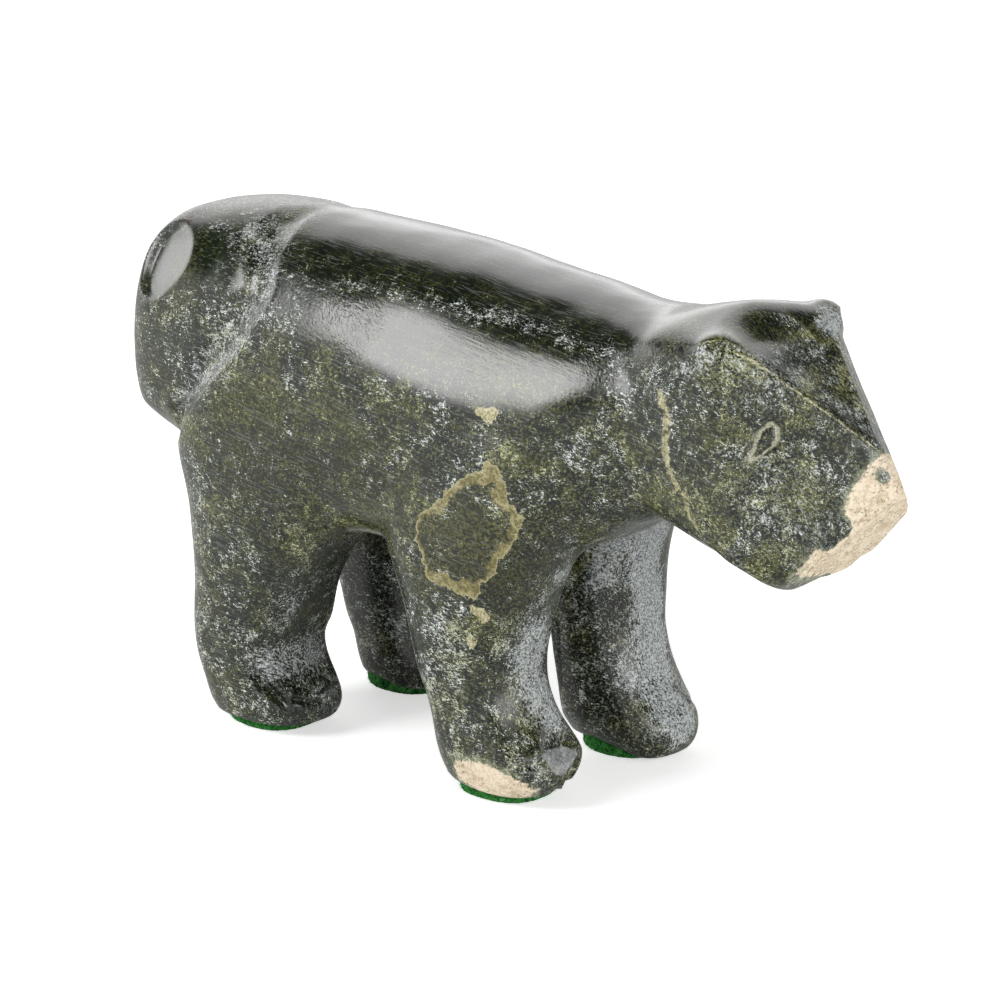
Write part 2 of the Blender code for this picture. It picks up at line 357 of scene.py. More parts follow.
# The tail flap's line as it was blocked out is filled, each of its points a height and a place
# along the bear, and the broad valley that was rasped along it afterwards is cut a little
# further forward, steep beside the flap
BLOCKED_LINE = [
    (50, -81.1), (58, -76.1), (65, -69.6), (75, -61.6), (88, -55.1), (98, -54.1), (108, -55.1),
]
FILL_DEPTH = 1.35
FILL_REACH = 3.6
normals = fresh_normals()
heights, places = np.array(BLOCKED_LINE, float).T
lean = np.interp(points[:, 2], heights, np.gradient(places, heights))
away = (points[:, 0] - np.interp(points[:, 2], heights, places)) / np.hypot(1.0, lean)
fill = FILL_DEPTH * bell(away, FILL_REACH)
fill *= np.clip((points[:, 2] - 48.0) / 8.0, 0.0, 1.0)
fill *= np.clip((106.0 - points[:, 2]) / 8.0, 0.3, 1.0)
points = points + normals * fill[:, None]

VALLEY = [
    (-56.5, -2.0, 102.0),
    (-55.0, -8.0, 101.0),
    (-54.0, -12.0, 99.5),
    (-51.5, -18.0, 96.0),
    (-48.5, -23.5, 89.5),
    (-52.0, -25.0, 84.0),
    (-57.5, -25.0, 78.0),
    (-66.5, -24.0, 67.5),
    (-71.0, -22.5, 61.5),
]
VALLEY_FORWARD = unit((0.86, 0.0, -0.5))
VALLEY_DEPTH = 1.6
VALLEY_REACH = 6.5
FLAP_EDGE = 2.2


def valley_cut(points, normals, path):
    """A cove ahead of the line that ends steeply behind it."""
    away, place, share = nearest_on(points, path)
    forward = (points - place) @ VALLEY_FORWARD > 0
    cove = np.clip(1.0 - (away / VALLEY_REACH) ** 2, 0.0, 1.0)
    cove = np.where(forward, cove, bell(away, FLAP_EDGE))
    cut = VALLEY_DEPTH * cove * ramp(share, 0.0, 0.22) * (0.8 + 0.2 * ramp(share, 0.5, 1.0))
    return points - normals * cut[:, None]


for path in both_sides(VALLEY):
    points = worked(valley_cut, path)
points = rubbed(points, edges, 4, rub)
for path in both_sides([(-16.0, -25.5, 86.0), (-4.0, -25.0, 84.0)]):
    points = rubbed_near(path, 120, 14.0, 8.0)

# Where the block was rasped a little more, or left a little fuller, than it was sawn: the line
# along it, how far it reaches, and its depth
TRUED = [
    ([(-86.0, 0.0, 88.0), (-80.0, 0.0, 97.0), (-70.0, 0.0, 101.0)], 9.0, -0.3),
    ([(-85.5, -14.8, 92.5), (-84.0, -12.6, 95.5), (-82.0, -9.8, 98.0)], 5.0, -0.4),
    ([(-85.0, -20.0, 85.0), (-83.5, -22.0, 74.0), (-86.0, -19.8, 64.0)], 7.0, 0.4),
    ([(-69.0, -1.0, 102.0), (-59.5, 7.0, 102.0), (-44.5, 8.0, 101.0), (-32.5, 10.0, 99.5)], 8.0, 0.25),
    ([(-30.0, 10.5, 99.5), (-1.0, 12.0, 95.5), (13.0, 11.0, 94.0), (34.0, 8.0, 93.0)], 8.0, -0.5),
    ([(6.0, -14.0, 94.5), (16.0, -14.0, 93.0), (28.0, -14.0, 91.5)], 9.0, 1.1),
    ([(25.0, 9.0, 93.5), (36.0, 7.0, 93.0), (44.0, 4.0, 93.5)], 6.0, 0.4),
    ([(-62.3, -28.0, 48.0), (-61.8, -28.0, 37.0), (-62.7, -27.3, 28.5)], 6.0, 0.4),
]
for path, reach, depth in TRUED:
    points = worked(eased, path, reach, depth)

# A broad flat rasped on each flank below the back, and one scraped on each rear corner of the
# rump; the flap's rounded lower end is undercut where it overhangs the thigh
for side in (1, -1):
    undercut = [(-77.0, side * -15.0, 60.5), (-73.0, side * -20.0, 61.3), (-69.0, side * -23.5, 63.0)]
    points = worked(planed, (10.0, side * -22.2, 84.2), (0.12, side * -0.84, 0.53), 36.0, 0.7)
    points = worked(planed, (-76.9, side * -18.2, 90.1), (-0.36, side * -0.80, 0.48), 10.0, 0.12)
    points = worked(planed, (-84.8, side * -16.5, 57.9), (-0.35, side * -0.58, -0.73), 11.0, 0.3)
    points = worked(grooved, undercut, 1.4, 1.1, 0.3)

# The neck is hollowed a little ahead of each flank's flat, and rounded up to the ears
for path in both_sides([(40.0, -17.0, 88.0), (43.0, -19.0, 82.0)]):
    points = worked(eased, path, 5.5, 0.9)
for path in both_sides([(44.0, -14.5, 90.5), (50.0, -16.5, 90.5), (55.0, -17.0, 92.0)]):
    points = worked(eased, path, 4.5, -1.0)
for path in both_sides([(44.0, -12.0, 93.0), (50.0, -10.0, 94.0)]):
    points = rubbed_near(path, 60, 11.0, 5.0)

# The sawn flats of the head: a point on each and its outward normal
FLATS = {
    "forehead": ((74.2, 0.0, 86.3), (0.605, 0.0, 0.796)),
    "right cheek": ((74.2, -11.6, 85.8), (0.6, -0.772, 0.21)),
    "left cheek": ((77.8, 4.4, 83.8), (0.66, 0.68, 0.32)),
    "muzzle": ((91.4, -2.0, 69.6), (0.78, -0.08, -0.62)),
    "muzzle corner": ((83.9, 2.0, 58.8), (0.70, 0.41, -0.585)),
}
FLAT_NORMALS = np.array([unit(normal) for _, normal in FLATS.values()])
DISH = 0.5


def above_flats(points):
    """How far each point stands above each flat, with the forehead dished between its ridges."""
    heights = []
    for (name, (point, _)), normal in zip(FLATS.items(), FLAT_NORMALS):
        height = (points - np.array(point)) @ normal
        if name == "forehead":
            along = np.clip((points[:, 0] - 61.9) / 25.0, -0.2, 1.0)
            half_width = 13.0 * (1.0 - along) + 0.5
            across = np.clip(np.abs(points[:, 1] + 1.5) / half_width, 0.0, 1.0)
            height = height + DISH * (1.0 - across**2) * np.clip(1.3 * (1.0 - along), 0.0, 1.0)
        heights.append(height)
    return np.array(heights)


# The flats keep their edges towards the nose, and are rubbed round into the neck, the jaw, the
# top of the head and along the far brow
CHEEK_BACK = [
    (62.0, -20.5, 85.0), (63.4, -21.1, 81.5), (65.7, -21.7, 71.0), (68.0, -21.0, 60.0), (71.0, -15.0, 52.0),
]
ROUNDED = [
    (CHEEK_BACK, 8.5),
    (mirrored(CHEEK_BACK), 8.5),
    ([(61.0, -9.0, 94.5), (60.5, 0.0, 95.0), (60.0, 9.0, 95.0)], 6.0),
]
softened = np.zeros(len(points))
for path, reach in ROUNDED:
    softened = np.maximum(softened, near_line(path, reach, 0.4 * reach))
points = rubbed(points, edges, 150, softened)

# Three passes draw the skin onto whichever flat it stands furthest above
for _ in range(3):
    heights = above_flats(points)
    nearest = heights.argmax(axis=0)
    top = heights.max(axis=0)
    pull = ramp(1.5 - np.abs(top), 0.0, 0.8) * ramp(points[:, 0], 63.0, 70.0)
    pull *= np.maximum(ramp(points[:, 2], 56.0, 63.0), ramp(points[:, 0], 76.0, 80.0))
    pull *= ramp(np.abs(heights[0] - heights[2]), 0.5, 3.0)
    points = points - FLAT_NORMALS[nearest] * ((top + 0.12) * pull)[:, None]

# The jaw and the underside of the muzzle are rasped flat, and the top of the head left full
for side in (1, -1):
    points = worked(planed, (58.0, side * -17.0, 57.5), (-0.24, side * -0.51, -0.82), 19.0, 0.15)
points = worked(planed, (78.0, -4.6, 53.0), (0.48, 0.10, -0.87), 12.0, 0.3)
points = worked(planed, (77.6, 2.7, 53.9), (0.53, 0.16, -0.83), 9.0, 0.15)
points = worked(eased, [(48.0, -2.0, 95.0), (57.0, 2.0, 95.5), (62.0, 12.0, 96.0)], 9.0, -1.25)
points = worked(eased, [(38.0, 7.0, 93.0), (45.0, 2.0, 95.0), (52.0, 0.0, 96.5)], 6.0, -0.75)

# Ears: each is a low fold lying forward along the top of the cheek, cut in under its lip, and
# the left one's front is gouged hollow. Lines on the front quarters are drawn as seen squarely
# from there, on the right or the left.
FRONT_RIGHT = (0.64, -0.72, 0.27)
FRONT_LEFT = (0.64, 0.72, 0.27)
EAR_LIP = [
    (53.0, -18.2, 88.2), (55.5, -18.3, 90.5), (56.9, -18.2, 92.3), (59.4, -19.1, 93.8),
    (61.3, -18.7, 94.5), (62.9, -17.9, 94.4), (64.3, -16.9, 93.4), (66.5, -15.4, 91.4),
]
LIP_DEPTH = 1.15
BELOW_LIP = 2.1
ABOVE_LIP = 0.45


def lip_cut(points, normals, lip, facing):
    """A step pressed in below the lip, which stays sharp above it."""
    away, share = drawn(points, normals, lip, facing, closed=False)
    cut = LIP_DEPTH * bell(away, np.where(away < 0, BELOW_LIP, ABOVE_LIP))
    cut *= ramp(share, 0.22, 0.62) * ramp(-share, -1.0, -0.75)
    return points - unit((facing[0], facing[1], 0.6)) * cut[:, None]


for lip, facing in ((EAR_LIP, FRONT_RIGHT), (mirrored(EAR_LIP), FRONT_LEFT)):
    points = worked(lip_cut, lip, facing)
points = scooped(points, (67.4, 12.0, 97.4), (4.6, 4.6, 4.6))
points = rubbed_near([(63.5, 10.0, 95.5), (64.5, 13.5, 95.0)], 30, 5.0, 2.5)

# Eyes: an almond engraved on each cheek with a fine graver. The outline is drawn along and up
# the cheek's own flat.
EYE_OUTLINE = [
    (-2.7, -4.1), (-2.4, -1.6), (-1.6, 0.8), (-0.2, 2.6), (1.3, 3.5),
    (2.5, 2.5), (2.6, 0.6), (1.6, -1.2), (0.2, -2.4), (-1.4, -3.4),
]
EYE_SCALE = 0.86
EYES = [((70.8, -16.3, 78.1), FLAT_NORMALS[1]), ((71.5, 12.2, 77.6), FLAT_NORMALS[2])]


def eye_outline(centre, facing):
    upward = unit(UP - facing * facing[2])
    ahead = unit(np.array((facing[1], -facing[0], 0.0)) * (-1 if facing[1] < 0 else 1))
    return [np.array(centre) + (ahead * a + upward * b) * EYE_SCALE for a, b in EYE_OUTLINE]


def engraved(points, normals, outline, facing, width, depth):
    """A fine groove along a closed outline."""
    away, _ = drawn(points, normals, outline, facing)
    return points - normals * (depth * bell(away, width))[:, None]


for centre, facing in EYES:
    points = worked(engraved, eye_outline(centre, facing), facing, 0.40, 0.45)

# Muzzle: the broken end of the block, its edges worn round, with a small pit at the nostril
WORN = [
    ([(88.0, -4.0, 75.0), (89.5, 0.0, 73.0), (88.0, 4.0, 73.0)], 5.0),
    ([(87.0, -5.5, 72.0), (83.5, -9.5, 66.0), (80.5, -13.0, 60.0), (78.0, -13.5, 54.0),
      (76.0, -8.0, 51.0)], 3.0),
    ([(85.0, 5.0, 66.0), (80.0, 8.0, 58.0), (76.0, 8.0, 52.0)], 3.0),
    ([(76.5, -12.8, 52.2), (75.0, -6.0, 50.5), (75.0, 4.0, 50.5)], 3.5),
]
worn = np.zeros(len(points))
for path, reach in WORN:
    worn = np.maximum(worn, near_line(path, reach, 0.3 * reach))
points = rubbed(points, edges, 40, worn)
points = scooped(points, (87.0, -8.4, 64.6), (1.5, 1.5, 1.2))
points = worked(grooved, [(80.0, -4.0, 53.5), (79.0, 0.0, 53.5), (79.0, 4.0, 54.5)], 0.5, 0.7, 0.2)

# Legs: fronts and insteps are rasped in a little more, or left fuller, than they were blocked
# out, and so are the top of the left ear and the right corner of the jaw
EASED = [
    ([(22.5, 20.0, 32.0), (22.5, 20.0, 20.0)], 8.0, 1.1),
    ([(17.5, 24.4, 23.0), (17.8, 24.4, 20.5), (21.5, 24.2, 13.5)], 6.0, 0.9),
    ([(6.0, 9.5, 30.0), (5.5, 9.5, 20.0), (8.0, 9.5, 8.0)], 6.0, -1.5),
    ([(59.0, 13.6, 97.0), (61.0, 15.6, 97.0), (63.3, 16.3, 95.4)], 4.5, 0.5),
    ([(67.5, -20.5, 57.0), (71.0, -18.3, 54.0)], 4.0, -0.9),
    ([(17.0, -9.5, 26.0), (17.4, -8.8, 17.0)], 5.0, 0.3),
    ([(-40.5, -22.0, 16.5), (-40.5, -14.0, 15.0)], 4.5, 1.7),
    ([(-40.5, 22.0, 16.5), (-40.5, 14.0, 15.0)], 4.5, 1.7),
    ([(-45.0, -8.5, 31.0), (-44.0, -9.0, 22.0)], 4.0, -0.8),
    ([(-42.8, -9.8, 16.5), (-42.0, -10.5, 13.0), (-40.2, -11.0, 10.5)], 4.0, 0.8),
    ([(-56.0, 8.0, 24.0), (-55.0, 8.0, 18.0)], 4.0, -0.5),
    ([(-52.0, 14.0, 30.0), (-52.0, 13.0, 14.0)], 7.0, 1.0),
    ([(6.8, -26.3, 26.0), (7.2, -26.3, 8.0)], 6.0, 0.8),
    ([(-2.0, -25.5, 16.5), (1.0, -26.0, 9.3), (2.2, -25.0, 3.8)], 5.0, 0.8),
    ([(-69.0, -22.0, 50.0), (-68.0, -22.0, 34.0)], 8.0, 0.5),
]
for path, reach, depth in EASED:
    points = worked(eased, path, reach, depth)

# Feet: toes are marked by a ledge, and chips are missing at the tips. Each ledge is a line, its
# width and its depth; each chip is a point, its facing, its reach and how soft its rim is.
FOOT_LINES = [
    ([(-47.5, -28.2, 14.0), (-45.3, -27.6, 12.2), (-41.8, -26.7, 9.4), (-38.1, -25.3, 6.1)], 1.0, 1.7),
    ([(-38.6, -25.0, 8.3), (-38.1, -23.8, 8.2), (-36.2, -17.8, 6.8), (-36.0, -16.5, 6.7)], 0.5, 1.1),
    ([(-36.4, -15.0, 3.2), (-36.6, -13.4, 3.0), (-37.2, -11.6, 3.0)], 0.8, 1.2),
    ([(-38.0, -27.6, 41.3), (-33.0, -26.0, 42.8), (-28.0, -22.8, 43.8)], 1.4, 0.9),
    ([(20.5, -26.0, 9.0), (23.0, -22.0, 8.6), (23.2, -19.5, 10.5)], 0.7, 0.5),
]
FOOT_FLATS = [
    ((24.6, -15.5, 8.7), (0.76, 0.10, 0.64), 7.0, 0.05),
    ((26.2, -15.6, 6.2), (0.75, 0.51, -0.41), 8.0, 0.08),
    ((23.6, 14.5, 11.6), (0.75, -0.2, 0.62), 7.0, 0.1),
    ((-37.6, -18.5, 9.5), (0.75, -0.25, 0.6), 6.0, 0.2),
    ((-37.6, 18.5, 9.5), (0.75, 0.25, 0.6), 6.0, 0.2),
    ((-52.8, 9.9, 5.0), (-0.72, -0.66, -0.20), 10.0, 0.4),
]


def ledge(points, normals, line, facing, width, depth):
    """A groove drawn on a front quarter, fading at both ends."""
    away, share = drawn(points, normals, line, facing, closed=False)
    return points - normals * (depth * bell(away, width) * tapered(share, 0.2))[:, None]


for path, width, depth in FOOT_LINES:
    for line, facing in ((path, FRONT_RIGHT), (mirrored(path), FRONT_LEFT)):
        points = worked(ledge, line, facing, width, depth)
for at, facing, reach, soft in FOOT_FLATS:
    points = worked(planed, at, facing, reach, soft)
points = rubbed_near([(-55.0, 9.5, 13.0), (-53.0, 9.5, 7.0)], 30, 6.0, 3.0)

# Broken stone under the chipped toe is jagged
CHIPPED_TOE = (26.0, -15.0, 5.0)
JAG_SHARE = 0.08
JAGS = [((0.3, 0.9, 0.2), 3.1, 0.4), ((-0.5, 0.6, 0.6), 2.3, 2.2), ((0.4, -0.3, 0.9), 1.7, 3.9)]
normals = fresh_normals()
jagged = np.zeros(len(points))
for direction, spacing, phase in JAGS:
    jagged += np.abs(np.sin(points @ unit(direction) * (math.pi / spacing) + phase)) * spacing
away = np.linalg.norm(points - np.array(CHIPPED_TOE), axis=1)
broken = ramp(-away, -6.5, -4.5) * ramp(-points[:, 2], -8.0, -6.8)
points = points - normals * (jagged * JAG_SHARE * broken)[:, None]

# Hand rubbing leaves every face a little uneven: slow waves, each a direction, its length and
# where it starts
WAVE_SHARE = 0.0022
WAVES = [
    ((0.8, 0.3, 0.5), 31.0, 0.3),
    ((0.2, 0.9, -0.4), 23.0, 1.9),
    ((-0.5, 0.4, 0.8), 19.0, 4.1),
    ((0.6, -0.7, 0.4), 13.0, 2.6),
    ((0.9, 0.1, -0.6), 9.0, 5.2),
]
normals = fresh_normals()
uneven = np.zeros(len(points))
for direction, wavelength, phase in WAVES:
    uneven += np.sin(points @ unit(direction) * (2 * math.pi / wavelength) + phase) * wavelength
points = points + normals * (uneven * WAVE_SHARE * ramp(points[:, 2], 4.0, 10.0))[:, None]

# The rim of each sole hangs a little over the pad under it, and further at the left fore toes.
# The left feet's felt is thicker towards its rear inner edge, and the rim is lifted there.
PADS = ("felt_pad_right_hind", "felt_pad_left_hind", "felt_pad_right_fore", "felt_pad_left_fore")
HANG = 0.4
TOES_HANG = 1.6
THICK_FELT = 1.3


def thick_edge(points, middle, half):
    """How much thicker the left pads' felt is at each point."""
    place = (points - middle) / half
    out = np.linalg.norm(place[:, :2], axis=1)
    rear_inner = ramp(-place[:, 0], -0.7, 0.2) * ramp(-place[:, 1], -0.7, 0.1)
    return THICK_FELT * ramp(out, 0.65, 0.98) * rear_inner


points[:, 2] = np.maximum(points[:, 2], SOLE)
for node in PADS:
    pad_points = points_of(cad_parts[node].data)
    low, high = pad_points.min(axis=0), pad_points.max(axis=0)
    middle, half = (low + high) / 2, (high - low) / 2
    out = np.linalg.norm((points - middle)[:, :2] / half[:2], axis=1)
    hang = HANG
    if node == "felt_pad_left_fore":
        hang = TOES_HANG * ramp(points[:, 0], high[0] - 5.0, high[0] + 1.0)
    hang = hang * ramp(out, 0.98, 1.10)
    if "left" in node:
        hang = hang - thick_edge(points, middle, half)
    points[:, 2] -= hang * ramp(-out, -1.9, -1.7) * ramp(-points[:, 2], -9.0, -3.0)

# The finished skin stays just inside the frame's box, and is thinned to a workable mesh
BOX_GAP = 0.02
points = np.clip(points, np.array(cad_low) / MM + BOX_GAP, np.array(cad_high) / MM - BOX_GAP)
put_points(bear.data, points)
thinned = bear.modifiers.new("thinned", "DECIMATE")
thinned.ratio = MOST_TRIANGLES / (2 * len(bear.data.polygons))
applied(bear)
bear.data.shade_smooth()
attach(bear, "root")
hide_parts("bear")

# The block's markings, placed on the finished skin: a patch ringed in yellow on the right
# shoulder, cream ends left by the weathered outside of the block, veins along the neck and
# brow, and the faces that were polished, brushed or left plain.
points = points_of(bear.data)
normals = normals_of(bear.data)


def marked(name, values):
    """Keeps one number for each point of the bear under that name, for its material."""
    layer = bear.data.attributes.new(name, "FLOAT", "POINT")
    layer.data.foreach_set("value", np.asarray(values, float))


def beside(path, facing):
    """Each point's distance to an open line, below 0 on one side of it and tapering at its ends."""
    away, place, share = nearest_on(points, path)
    steps = np.diff(np.array(path, float), axis=0)
    step = steps[np.minimum((share * len(steps)).astype(int), len(steps) - 1)]
    side = np.cross(step, points - place) @ np.array(facing)
    signed = np.where(side < 0, -away, away) / np.maximum(tapered(share, 0.12), 0.02)
    return np.clip(signed, -FAR_OFF, FAR_OFF)


def near(path, reach):
    """1 close to a line of points and 0 beyond its reach."""
    path = path if len(path) > 1 else [path[0], np.add(path[0], (0.1, 0.0, 0.0))]
    return near_line(path, reach, 0.25 * reach)


def both(path, reach):
    """near() for a line and for the same line on the bear's other side."""
    return any_of(near(path, reach), near(mirrored(path), reach))


def any_of(*weights):
    return np.max(weights, axis=0)


# The yellow-ringed patch, and how wide its rim is: wider at its top and its foot
PATCH_OUTLINE = [
    (0.6, -29.6, 54.4), (-0.2, -29.5, 49.5), (1.9, -29.4, 44.0), (3.3, -29.4, 42.0),
    (8.8, -29.3, 41.2), (13.7, -28.4, 39.9), (15.0, -28.4, 42.9), (18.1, -27.8, 46.4),
    (22.1, -26.8, 53.1), (23.8, -26.0, 57.4), (21.4, -27.3, 59.7), (20.8, -27.3, 62.4),
    (19.0, -27.4, 65.9), (16.3, -27.6, 67.7), (14.5, -28.3, 64.9), (11.0, -28.9, 63.3),
    (8.3, -29.2, 61.1), (4.9, -29.6, 57.2),
]
marked("patch", drawn(points, normals, PATCH_OUTLINE, (0.1, -1.0, 0.0))[0])
marked("rim", 1.1 + 2.4 * ramp(points[:, 2], 58.0, 64.0) + 2.2 * ramp(-points[:, 2], -46.0, -42.0))

# A yellowish vein down the right of the neck, a paler one along the ridge above the right
# cheek, and the eyes' engraved lines
NECK_VEIN = [
    (47.5, -18.3, 85.5), (50.5, -19.5, 82.5), (52.0, -20.0, 79.0), (51.4, -20.0, 75.5),
    (51.8, -20.1, 72.5), (53.3, -20.3, 69.3), (57.2, -20.7, 65.5), (57.7, -20.6, 63.2),
    (60.5, -20.4, 59.5),
]
RIDGE_VEIN = [
    (62.0, -18.2, 94.5), (64.4, -17.0, 93.1), (69.1, -13.1, 89.6), (74.0, -10.7, 85.8),
    (78.5, -7.9, 82.4), (81.7, -6.3, 80.0), (86.5, -3.9, 76.4),
]
marked("vein", beside(NECK_VEIN, (0.0, -1.0, 0.0)))
marked("ridge", beside(RIDGE_VEIN, (0.0, -0.8, 0.6)))
eye_line = np.full(len(points), FAR_OFF)
for centre, facing in EYES:
    line, _ = drawn(points, normals, eye_outline(centre, facing), facing)
    eye_line = np.where(np.abs(line) < np.abs(eye_line), line, eye_line)
marked("eye", eye_line)

# The cream muzzle, with the darker pits in it, and the cream side of the right fore foot
CREAM_PITS = [
    ((88.3, -4.4, 72.0), 1.8, 4.5),
    ((83.6, -10.5, 63.1), 2.4, 5.0),
    ((82.0, -12.0, 60.5), 1.6, 3.0),
]
CREAM_TOE = [
    (8.0, -29.0, 6.5), (12.0, -29.0, 8.6), (17.0, -28.0, 8.8), (22.0, -26.0, 6.8),
    (25.0, -23.0, 4.2), (22.0, -25.0, 2.2), (14.0, -28.0, 2.2), (9.0, -29.0, 3.6),
]
cream = points @ (0.928, 0.0, -0.373) - 51.9
cream += 6.0 * near([(75.0, 4.0, 51.5), (71.5, 9.0, 50.0)], 7.0)
for centre, reach, depth in CREAM_PITS:
    cream -= depth * bell(np.linalg.norm(points - centre, axis=1), reach)
marked("cream", np.maximum(cream, -drawn(points, normals, CREAM_TOE, (0.45, -0.89, 0.0))[0]))

# The chip scraped flat at the right fore toes, and small spots of other colours
SCRAPED_TOE = [
    (23.6, -21.6, 9.8), (23.4, -18.0, 10.6), (23.6, -12.8, 10.0), (24.6, -11.2, 8.4),
    (26.0, -13.6, 6.8), (26.6, -17.6, 6.4), (26.4, -20.6, 7.4),
]
marked("scraped", drawn(points, normals, SCRAPED_TOE, (0.76, 0.10, 0.64))[0])
marked("spots", any_of(
    0.9 * near([(12.9, -26.6, 75.2), (16.5, -26.2, 75.6)], 2.4),
    near([(13.0, -27.9, 38.5), (15.5, -27.6, 36.6)], 1.9),
    0.8 * near([(12.0, -27.6, 31.5)], 2.2),
    0.8 * near([(16.8, -27.0, 31.0)], 1.7),
    0.7 * near([(38.0, -20.0, 60.0)], 1.8),
    0.75 * near([(19.0, 20.0, 60.0), (22.0, 20.0, 63.0)], 3.5),
))
marked("rust", any_of(
    near([(-77.4, -12.4, 98.0)], 2.2),
    near([(-69.3, -11.4, 99.9)], 1.8),
    0.8 * near([(-60.0, 13.0, 99.0)], 3.0),
))
marked("green", any_of(
    near([(-63.6, -18.0, 96.5), (-62.0, -20.0, 92.0)], 6.0),
    near([(-50.0, 15.0, 98.0)], 6.0),
))

# Faces brushed pale, and those on which the brush went crosswise
INSTEP = [(-44.0, -26.0, 14.5), (-41.0, -20.0, 15.5), (-40.6, -11.0, 15.5)]
HIND_GROOVE = [(-46.0, -28.0, 12.8), (-41.8, -26.7, 9.4), (-38.6, -25.5, 6.6)]
UNDER_LIP = [(x + 0.3, y, z - 0.6) for x, y, z in EAR_LIP[2:6]]
VALLEY_FLOOR = [
    (-50.5, -13.0, 99.5), (-48.0, -18.0, 97.0), (-45.5, -23.5, 89.5), (-50.0, -25.0, 83.0),
    (-55.5, -25.0, 77.0), (-64.5, -24.0, 67.0), (-69.5, -22.5, 61.0),
]
LEFT_FORE_FRONT = [
    (20.5, 16.0, 45.0), (18.7, 15.0, 39.5), (17.8, 18.0, 30.5), (18.5, 19.0, 22.0),
    (23.0, 15.5, 12.0), (27.0, 16.5, 8.0),
]
marked("pale", any_of(
    0.36 * both(VALLEY_FLOOR, 6.0),
    0.46 * both([(-56.0, -13.0, 99.5), (-50.5, -15.0, 97.5), (-49.5, -20.0, 93.0)], 6.5),
    0.62 * both(INSTEP, 6.0),
    0.85 * both([(19.0, -18.0, 31.0), (18.0, -17.0, 25.0), (19.5, -14.0, 16.5)], 8.5),
    0.90 * both([(14.0, 7.0, 37.0), (16.5, 7.5, 42.5), (19.0, 10.0, 44.5), (21.0, 16.0, 45.0)], 5.5),
    0.5 * both([(21.0, -21.0, 34.0), (26.0, -17.0, 43.0), (32.0, -13.0, 49.0)], 5.0),
    0.42 * both([(62.5, -17.0, 92.0), (65.0, -15.5, 90.5), (71.0, -12.5, 87.5)], 5.0),
    0.60 * both([(55.5, -18.6, 88.5), (58.5, -19.3, 91.2), (61.0, -18.6, 92.0)], 3.2),
    1.10 * near([(63.7, 12.4, 94.5), (65.2, 9.3, 93.5)], 4.2),
    0.34 * both([(-70.0, -22.0, 57.0), (-69.0, -23.5, 46.0)], 7.0),
    0.34 * both([(-41.0, -24.0, 40.0), (-40.0, -23.5, 26.0)], 5.0),
    0.24 * both([(72.0, -17.0, 70.0), (78.0, -12.0, 64.0)], 10.0),
    1.05 * near(LEFT_FORE_FRONT, 8.0),
))
marked("crosswise", any_of(both(INSTEP, 7.0), near([(23.0, 15.5, 13.0), (27.0, 16.5, 8.0)], 6.0)))

# Faces rubbed to a polish, left plain, darkened, or still showing the rasp, and the unpolished
# inner faces of the legs. The darkening is partly painted shade.
FLANK = [(-45.0, -29.0, 62.0), (-33.0, -28.5, 58.0), (-20.0, -28.0, 62.0), (-12.0, -28.0, 55.0)]
along, side, height = points.T
on_top = ramp(height - 94.0 + 0.12 * np.abs(along), -3.0, 2.0)
polish = any_of(
    on_top * near([(-36.0, -4.0, 101.0), (0.0, 0.0, 99.0), (40.0, 0.0, 94.0)], 24.0),
    both([(-24.0, -24.5, 87.5), (-2.0, -24.0, 85.0), (12.0, -22.0, 84.0), (30.0, -20.0, 82.5)], 9.0),
    both([(-76.0, -19.0, 90.0), (-66.0, -20.0, 93.0)], 8.0),
    both([(46.0, -9.0, 93.0), (60.0, -9.0, 95.0)], 9.0),
)
plain = any_of(
    both([(12.0, -28.0, 52.0), (22.0, -24.0, 46.0)], 11.0),
    0.75 * both(FLANK, 17.0),
    0.6 * both([(-40.0, -25.0, 45.0), (-41.0, -22.0, 34.0), (-41.0, -19.0, 24.0)], 8.0),
    0.5 * both([(-78.0, -20.0, 72.0), (-74.0, -21.0, 66.0)], 6.0),
)
marked("polish", polish)
marked("plain", plain)
# Darkened: painted shade in a band along the back and upper flanks, under the ear lips and in the hind-foot
# grooves; darker on the rump and the top of the head, darker towards the bottom, and along the upper edges of
# the fore toe chips
marked("darker_and_painted_shade", any_of(
    0.95 * ramp(height, 78.0, 88.0) * ramp(-along, -52.0, -37.0) * ramp(along, -50.0, -38.0),
    both([(-70.0, -16.5, 97.0), (-61.0, -19.0, 94.0), (-59.0, -22.5, 88.0)], 12.0),
    0.6 * ramp(height, 60.0, 72.0) * ramp(-along, 48.0, 60.0),
    0.7 * both([(60.0, -4.0, 93.5), (62.0, 6.0, 94.5)], 4.0),
    0.5 * ramp(-height, -46.0, -30.0) * ramp(-along, 0.0, 10.0),
    0.35 * ramp(-height, -40.0, -30.0),
    both(UNDER_LIP, 0.9),
    0.9 * near([(58.5, 9.0, 97.0), (61.5, 6.0, 95.5)], 4.5),
    both(HIND_GROOVE, 2.2),
    0.8 * both([(23.0, -21.0, 9.5), (21.5, -14.0, 14.0), (21.0, -9.5, 14.5)], 3.5),
))
marked("rasped", any_of(
    both([(-52.0, -25.0, 72.0), (-42.0, -26.0, 82.0), (-32.0, -24.0, 89.0), (-20.0, -24.5, 86.5)], 10.0),
    both([(34.0, -17.5, 88.0), (44.0, -17.0, 89.0), (50.0, -14.0, 92.0)], 8.0),
    both([(-55.0, -4.0, 102.0), (-48.0, -10.0, 101.0)], 7.0),
    0.9 * both([(-80.0, -8.0, 97.5), (-66.0, -7.0, 101.5), (-58.0, -5.0, 102.0)], 10.0),
))
marked("grain", ramp(-height, -44.0, -34.0) * ramp(-np.sign(side) * normals[:, 1], 0.1, 0.6))
